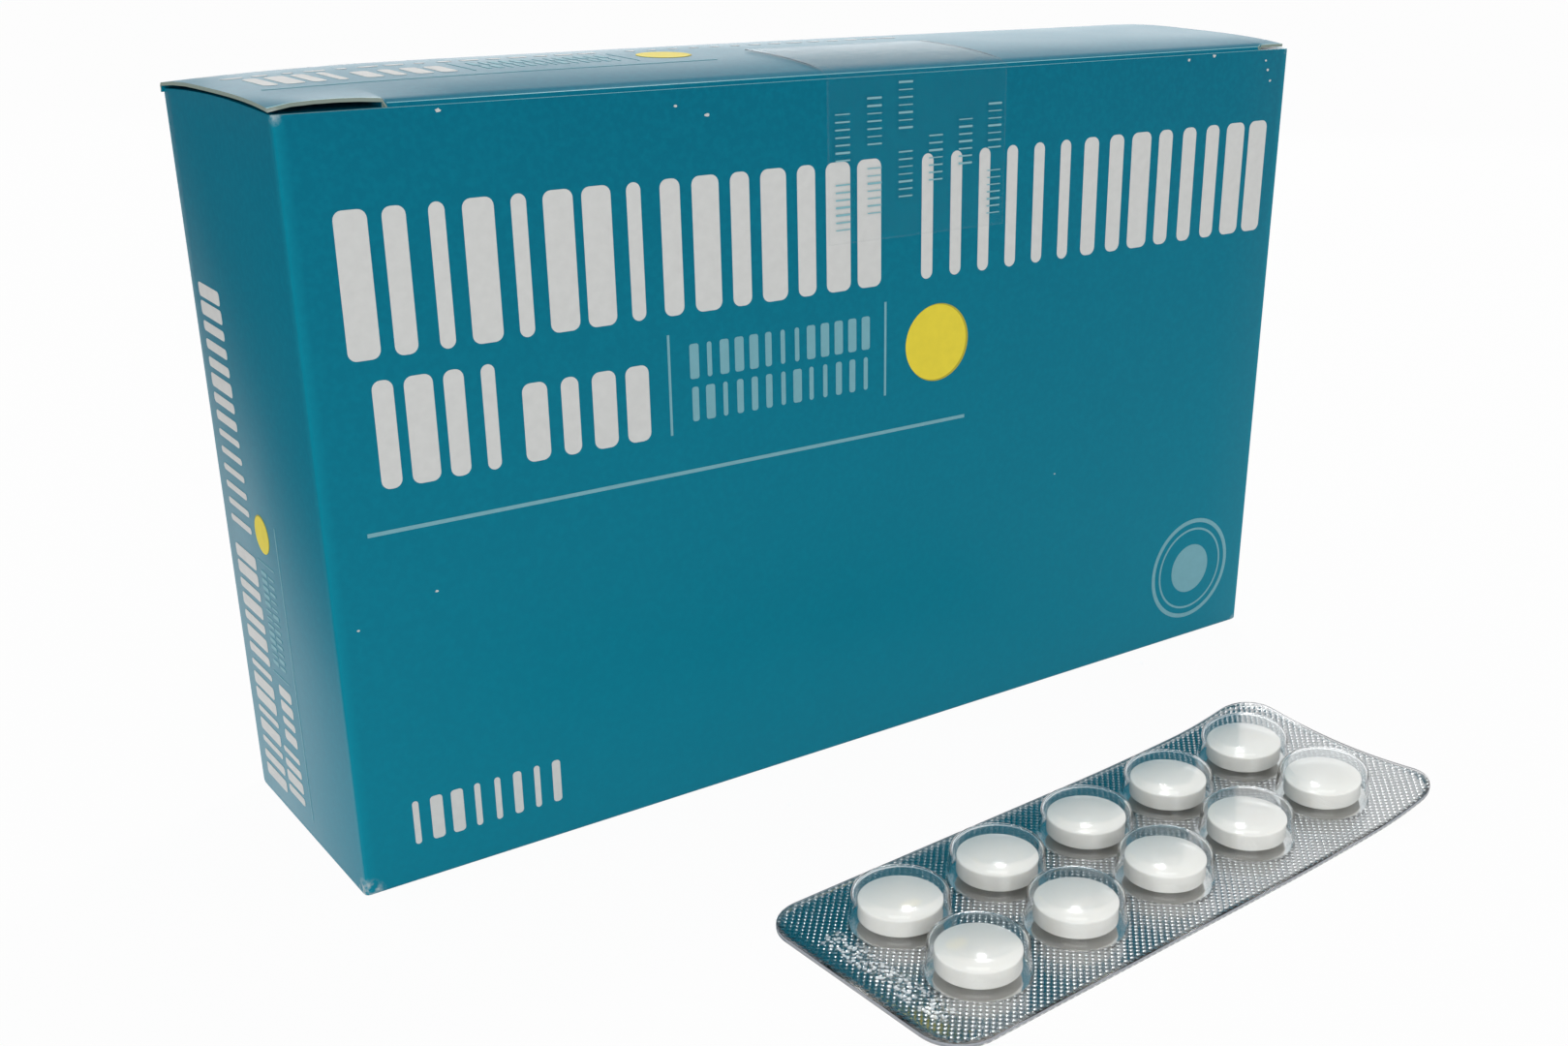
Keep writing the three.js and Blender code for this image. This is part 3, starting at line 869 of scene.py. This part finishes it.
TAPE_INK = ink_finish("tape ink", colour(146, 200, 210))
tape_panel = Panel(tape, (TAPE_LEFT, FRONT, TAPE_FOOT), RIGHTWARD, UP)
marks = tape_marks()
lay("tape_marks", tape_panel, marks, TAPE_INK, "clear_tape", INK_HALF / 2)
print("tape marks", len(marks))

# %% [markdown]
# The strip is card-stiff film that has taken a slight curl: flat on the table over its left half,
# and rising towards its right end, most at the two corners. Film, foil and tablets all use the same
# rise, so they stay together.

# %% The strip's size and its curl
END_MARGIN, SIDE_MARGIN, CORNER = 11.8 * MM, 9.5 * MM, 5.0 * MM
HALF_LONG = (COLUMNS - 1) * PITCH / 2 + END_MARGIN
HALF_WIDE = (ROWS - 1) * ROW_PITCH / 2 + SIDE_MARGIN
FOIL_TOP, FOIL_THICK = 0.14 * MM, 0.1 * MM
FLANGE, FILM_THICK = 0.46 * MM, 0.3 * MM
RISE_FROM, RISE = 7.05 * MM, 0.00118 / MM
CORNER_RISE, CORNER_REACH = 1.5 * MM, 14 * MM
print("strip", 2 * HALF_LONG, "by", 2 * HALF_WIDE)


def rise_at(x, y):
    bend = RISE * max(x - RISE_FROM, 0) ** 2
    end = max((x - HALF_LONG) / CORNER_REACH + 1, 0)
    return bend + CORNER_RISE * end ** 2 * (y / HALF_WIDE) ** 2


def rounded_outline(nx, ny):
    """The strip's outline in the direction of a point on the edge of the square from -1 to 1."""
    point = Vector((nx * HALF_LONG, ny * HALF_WIDE))
    centre = Vector((math.copysign(HALF_LONG - CORNER, nx), math.copysign(HALF_WIDE - CORNER, ny)))
    if abs(point.x) > abs(centre.x) and abs(point.y) > abs(centre.y):
        return centre + (point - centre).normalized() * CORNER
    return point


def place_strip(work):
    for vertex in work.verts:
        vertex.co.z += rise_at(vertex.co.x, vertex.co.y)
        vertex.co = STRIP_PLACE @ vertex.co


def finished(name, work, material):
    for face in work.faces:
        face.smooth = True
    return as_object(name, closed(work, bpy.data.meshes.new(name)), material)


# %% [markdown]
# The film is one sheet. Each pocket is a patch of rings round its middle: a domed roof, a rounded
# shoulder, a leaning wall and a small hollow curve into the flat. The last ring is the edge of the
# patch's own rectangle, so ten patches meet edge to edge, and a margin grows out to the outline.

# %% The pocket's outline
TABLET_LOW, TABLET_HIGH = (corner.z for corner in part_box("tablet_1"))
WALL, ROOM_ABOVE = 0.22 * MM, 0.35 * MM
ROOF, ROOF_CROWN, SHOULDER = TABLET_HIGH + ROOM_ABOVE + WALL, 0.2 * MM, 1.1 * MM
WALL_RADIUS, FOOT_RADIUS, FLARE = 5.32 * MM, 5.52 * MM, 0.45 * MM


def pocket_profile():
    """Radius and height from near the middle of the roof down to the flat."""
    flat = WALL_RADIUS - SHOULDER
    rings = [(flat * s, ROOF + ROOF_CROWN * (1 - s ** 2)) for s in (0.25, 0.5, 0.75, 0.92)]
    for k in range(7):
        angle = math.pi / 2 * k / 6
        rings.append((flat + SHOULDER * math.sin(angle), ROOF - SHOULDER * (1 - math.cos(angle))))
    top, foot = ROOF - SHOULDER, FLANGE + FLARE
    rings += [(WALL_RADIUS + (FOOT_RADIUS - WALL_RADIUS) * s, top + (foot - top) * s) for s in (0.35, 0.7)]
    for k in range(5):
        angle = math.pi / 2 * k / 4
        rings.append((FOOT_RADIUS + FLARE * (1 - math.cos(angle)), FLANGE + FLARE * (1 - math.sin(angle))))
    return rings


print("pocket", len(pocket_profile()), "rings, roof at", ROOF)

# %% [markdown]
# Every patch has the same angles, and some of them point at the four corners of its rectangle, so
# neighbours share each point of an edge. Merging those points makes one sheet, and Solidify gives it
# its thickness downwards, with a material of its own on the cut edge.

# %% The formed film
TINY = 1e-9
POCKETS = [((column - (COLUMNS - 1) / 2) * PITCH, ((ROWS - 1) / 2 - row) * ROW_PITCH)
           for row in range(ROWS) for column in range(COLUMNS)]


def patch_angles():
    """Angles round a patch that hold its four corners, the same for every patch."""
    corner = math.atan2(ROW_PITCH, PITCH)
    quarter = [corner * k / 8 for k in range(8)] + [corner + (math.pi / 2 - corner) * k / 8 for k in range(8)]
    half = quarter + [math.pi - a for a in [math.pi / 2] + quarter[:0:-1]]
    return half + [a + math.pi for a in half]


def join_rings(work, before, now):
    for k in range(len(now)):
        after = (k + 1) % len(now)
        corners = [before[k % len(before)], now[k], now[after], before[after % len(before)]]
        work.faces.new(list(dict.fromkeys(corners)))


def add_patch(work, centre, angles):
    def ring_at(reaches, z):
        return [work.verts.new((centre[0] + r * math.cos(a), centre[1] + r * math.sin(a), z))
                for r, a in zip(reaches, angles)]
    before = [work.verts.new((centre[0], centre[1], ROOF + ROOF_CROWN))]
    for reach, z in pocket_profile():
        now = ring_at([reach] * len(angles), z)
        join_rings(work, before, now)
        before = now
    to_side = [PITCH / 2 / max(abs(math.cos(a)), TINY) for a in angles]
    to_end = [ROW_PITCH / 2 / max(abs(math.sin(a)), TINY) for a in angles]
    join_rings(work, before, ring_at([min(pair) for pair in zip(to_side, to_end)], FLANGE))


def grow_margin(work, steps=4):
    """Extrudes the sheet's outer edge out to the strip's rounded outline."""
    inner = Vector((COLUMNS * PITCH / 2, ROWS * ROW_PITCH / 2))
    edges = [e for e in work.edges if e.is_boundary]
    base = work.verts.layers.float_vector.new("base")
    for vertex in {v for e in edges for v in e.verts}:
        vertex[base] = vertex.co
    for step in range(steps):
        new = bmesh.ops.extrude_edge_only(work, edges=edges)["geom"]
        for vertex in (g for g in new if isinstance(g, bmesh.types.BMVert)):
            start = vertex[base].xy
            goal = rounded_outline(start.x / inner.x, start.y / inner.y)
            vertex.co.xy = start.lerp(goal, (step + 1) / steps)
        edges = [g for g in new if isinstance(g, bmesh.types.BMEdge) and g.is_boundary]
    work.verts.layers.float_vector.remove(base)


def make_film(material, edge_shade_material):
    work = bmesh.new()
    for centre in POCKETS:
        add_patch(work, centre, patch_angles())
    bmesh.ops.remove_doubles(work, verts=work.verts, dist=WELD)
    grow_margin(work)
    flat = work.verts.layers.float.new("flat")
    for vertex in work.verts:
        vertex[flat] = 1.0 if vertex.co.z < FLANGE + WELD / 2 else 0.0
    bmesh.ops.recalc_face_normals(work, faces=work.faces)
    if sum(face.normal.z for face in work.faces) < 0:
        bmesh.ops.reverse_faces(work, faces=work.faces)
    place_strip(work)
    sheet = finished("film_sheet", work, material)
    sheet.data.materials.append(edge_shade_material)
    return thicken(sheet, FILM_THICK, rim=1)


# %% [markdown]
# Clear film bends light much less than a block of glass, so its index is low and its shine comes
# from a coat. Light from the lamps is let straight through, because bent light would need many more
# samples to come out clean. The pattern shows on the flat only, which the mesh marks.


# %% Finish of the clear film
def film_finish():
    material, tree, shader = new_material("clear film")
    place = object_place(tree)
    pattern = add(tree, "ShaderNodeGroup", {"Place": place}, node_tree=KNURL).outputs["Height"]
    flat = add(tree, "ShaderNodeAttribute", attribute_name="flat").outputs["Fac"]
    grain = grain_normal(tree, place, 0.5, 0.12)
    pressed = bump_from(tree, pattern, product(tree, flat, 0.6), 0.02 * MM, grain)
    fill(tree, shader, {
        "Base Color": (0.97, 0.985, 0.99, 1), "Roughness": 0.08, "IOR": 1.12, "Transmission Weight": 1.0,
        "Coat Weight": 0.7, "Coat Roughness": 0.1, "Normal": pressed, "Coat Normal": pressed})
    lamp_ray = add(tree, "ShaderNodeLightPath").outputs["Is Shadow Ray"]
    let_through = add(tree, "ShaderNodeBsdfTransparent", {"Color": (0.94, 0.95, 0.95, 1)}).outputs[0]
    show_mix(tree, lamp_ray, shader.outputs[0], let_through)
    return material


def edge_and_shade_finish():
    """The cut edge of the film, grey: partly milky where the blade dragged, partly painted shade from under
    the strip's edge.
    """
    material, tree, shader = new_material("film edge, painted shade")
    fill(tree, shader, {"Base Color": colour(176, 180, 188), "Roughness": 0.3})
    return material


film = settle(make_film(film_finish(), edge_and_shade_finish()), "clear_film", "blister_film")
print("film", len(film.data.polygons), "faces")

# %% [markdown]
# The foil is a fine grid that follows the outline, with the rollers' diamonds pressed in as real
# relief and sharpened by the finish. Under the pockets and on a lip at the left end nothing pressed
# it, so there it is smooth. Beside the lip it is also stamped with a band of coarse marks, which
# glitter because they face every way, and which are painted near white as well, a painted glint.

# %% The knurled foil
KNURL_DEPTH = 0.022 * MM
FOIL_STEPS = (340, 130)
STAMPED_X, STAMPED_Y = (-37.4 * MM, -34.6 * MM), (-10.2 * MM, 8.6 * MM)
LIP = 2.0 * MM


def diamonds(x, y):
    wave = 2 * math.pi / (KNURL_PITCH * math.sqrt(2))
    return max((math.cos(wave * (x + y)) + math.cos(wave * (x - y))) / 2, 0)


def rolled_at(x, y):
    """1 where the rollers pressed film and foil together, 0 under a pocket and on the left lip."""
    nearest = min(math.hypot(x - a, y - b) for a, b in POCKETS)
    outside = min(max((nearest - FOOT_RADIUS) / (0.4 * MM), 0), 1)
    return outside * min(max((HALF_LONG - LIP + x) / MM, 0), 1)


def make_foil(material):
    work = bmesh.new()
    across_steps, up_steps = FOIL_STEPS
    grid = []
    for i in range(across_steps + 1):
        column = []
        for j in range(up_steps + 1):
            u, v = 2 * i / across_steps - 1, 2 * j / up_steps - 1
            size = max(abs(u), abs(v), TINY)
            point = rounded_outline(u / size, v / size) * size
            relief = KNURL_DEPTH * (rolled_at(point.x, point.y) * diamonds(point.x, point.y) - 1)
            column.append(work.verts.new((*point, FOIL_TOP + relief)))
        grid.append(column)
    for i in range(across_steps):
        for j in range(up_steps):
            work.faces.new((grid[i][j], grid[i + 1][j], grid[i + 1][j + 1], grid[i][j + 1]))
    place_strip(work)
    return thicken(finished("foil_sheet", work, material), FOIL_THICK)


# %% [markdown]
# Foil is bare bright metal, so nearly all its look is what it mirrors. Peaks of the pattern are
# painted lighter than the land between, a painted reflection that keeps the pattern clear where there
# is little to mirror, and the smooth rounds under the pockets are painted lighter still, which lifts
# the shade under the tablets. The stamped marks are painted near white and less metallic, a painted
# glint.


# %% Finish of the foil
def between(tree, value, limits, soft=0.4 * MM):
    low, high = limits
    rising = remap(tree, value, low - soft, low + soft)
    return product(tree, rising, remap(tree, value, high + soft, high - soft))


def under_pocket(tree, x, y):
    """1 where a pocket's wall stands over the foil, 0 elsewhere."""
    along = math_node(tree, "WRAP", x, PITCH / 2, -PITCH / 2)
    across = math_node(tree, "ABSOLUTE", y)
    pocket = near_line(tree, along, across, [(0.0, ROW_PITCH / 2)], FOOT_RADIUS)
    among = less(tree, math_node(tree, "ABSOLUTE", x), COLUMNS * PITCH / 2)
    return product(tree, among, more(tree, pocket, 0.0))


def foil_finish():
    material, tree, shader = new_material("lidding foil")
    place = object_place(tree)
    local = along_strip(tree, place)
    x, y, _ = split(tree, local)
    stamped = product(tree, between(tree, x, STAMPED_X), between(tree, y, STAMPED_Y))
    coarse = add(tree, "ShaderNodeTexVoronoi", {"Vector": local, "Scale": 1800.0}).outputs["Distance"]
    # Painted glint: the stamped marks are painted near white and less metallic.
    painted_glint = product(tree, stamped, less(tree, coarse, 0.42))
    smooth = under_pocket(tree, x, y)
    lip = remap(tree, x, LIP - HALF_LONG - MM, LIP - HALF_LONG)
    rolled = product(tree, lip, math_node(tree, "SUBTRACT", 1.0, smooth))
    pattern = add(tree, "ShaderNodeGroup", {"Place": place}, node_tree=KNURL).outputs["Height"]
    # Painted reflection: the peaks are painted lighter than the land.
    painted_peak_light = math_node(tree, "MULTIPLY", rolled, product(tree, pattern, 0.9), clamp=True)
    shade = mix_colour(tree, painted_peak_light, (0.43, 0.44, 0.445, 1), (0.74, 0.735, 0.73, 1))
    # Painted light: the smooth rounds under the pockets are painted lighter, lifting the shade under the
    # tablets.
    shade = mix_colour(tree, smooth, shade, (0.8, 0.8, 0.79, 1))
    shade = mix_colour(tree, product(tree, painted_glint, 0.8), shade, (0.97, 0.97, 0.97, 1))
    pressed = bump_from(tree, pattern, rolled, KNURL_DEPTH)
    fill(tree, shader, {
        "Base Color": shade,
        "Metallic": math_node(tree, "MULTIPLY_ADD", painted_glint, -0.75, 1.0),
        "Roughness": remap(tree, noise(tree, place, 400.0, 3.0), 0.0, 1.0, 0.09, 0.17),
        "Normal": bump_from(tree, coarse, stamped, 0.12 * MM, pressed)})
    return material


foil = settle(make_foil(foil_finish()), "lidding_foil", "blister_foil")
print("foil", len(foil.data.polygons), "faces")

# %% [markdown]
# A tablet is a short band between two shallow domes, and its coating rounds the edges where they
# meet. Its outline is turned about its axis, and the lower dome takes what the band and the upper
# dome leave of the height. Each one sits in its own pocket, on the foil.

# %% The coated tablets
TABLET_RADIUS, BAND, EDGE_ROUND = 4.55 * MM, 1.9 * MM, 0.16 * MM
DOME = 0.95 * MM
FOOT_DOME = TABLET_HIGH - TABLET_LOW - BAND - DOME
TURN_STEPS = 80


def domed_outline(high):
    """Radius and height above the band's middle, from near the top of a dome down to the band."""
    sphere = (TABLET_RADIUS ** 2 + high ** 2) / (2 * high)
    edge = TABLET_RADIUS - 1.2 * EDGE_ROUND
    outline = []
    for k in range(1, 9):
        radius = edge * k / 8
        outline.append((radius, BAND / 2 + high - sphere + math.sqrt(sphere ** 2 - radius ** 2)))
    start, end = outline[-1], (TABLET_RADIUS, BAND / 2 - EDGE_ROUND)
    corner = (TABLET_RADIUS, BAND / 2 + 0.06 * MM)
    for k in range(1, 6):
        t = k / 5
        outline.append(tuple((1 - t) ** 2 * start[i] + 2 * t * (1 - t) * corner[i] + t * t * end[i]
                             for i in (0, 1)))
    return outline


def make_tablet(name, centre, material):
    outline = domed_outline(DOME) + [(r, -z) for r, z in reversed(domed_outline(FOOT_DOME))]
    work = bmesh.new()
    before = [work.verts.new((0, 0, BAND / 2 + DOME))]
    for r, z in outline:
        now = [work.verts.new((r * math.cos(a), r * math.sin(a), z))
               for a in (2 * math.pi * k / TURN_STEPS for k in range(TURN_STEPS))]
        join_rings(work, before, now)
        before = now
    foot = work.verts.new((0, 0, -BAND / 2 - FOOT_DOME))
    for k in range(TURN_STEPS):
        work.faces.new((before[k], foot, before[(k + 1) % TURN_STEPS]))
    slope = (rise_at(centre[0] + MM, centre[1]) - rise_at(centre[0] - MM, centre[1])) / (2 * MM)
    seat = Vector((centre[0], centre[1], TABLET_LOW + FOOT_DOME + BAND / 2 + rise_at(*centre)))
    work.transform(STRIP_PLACE @ Matrix.Translation(seat) @ Matrix.Rotation(-math.atan(slope), 4, "Y"))
    bmesh.ops.recalc_face_normals(work, faces=work.faces)
    return finished(name, work, material)


def tablet_finish():
    material, tree, shader = new_material("tablet coating")
    place = object_place(tree)
    tint = noise(tree, place, 220.0, 3.0)
    fill(tree, shader, {
        "Base Color": mix_colour(tree, tint, colour(228, 226, 221), colour(222, 219, 213)),
        "Roughness": 0.5, "Specular IOR Level": 0.2, "Coat Weight": 0.7, "Coat Roughness": 0.12,
        "Subsurface Weight": 0.15, "Subsurface Radius": (0.6 * MM, 0.5 * MM, 0.4 * MM),
        "Subsurface Scale": 1.0, "Normal": grain_normal(tree, place, 1.6, 0.22, coarse=0.5)})
    return material


coating = tablet_finish()
for number, centre in enumerate(POCKETS, start=1):
    settle(make_tablet("coated_tablet_%d" % number, centre, coating), "tablet_coating", "tablet_%d" % number)
print("tablets", len(POCKETS), "dome", DOME)
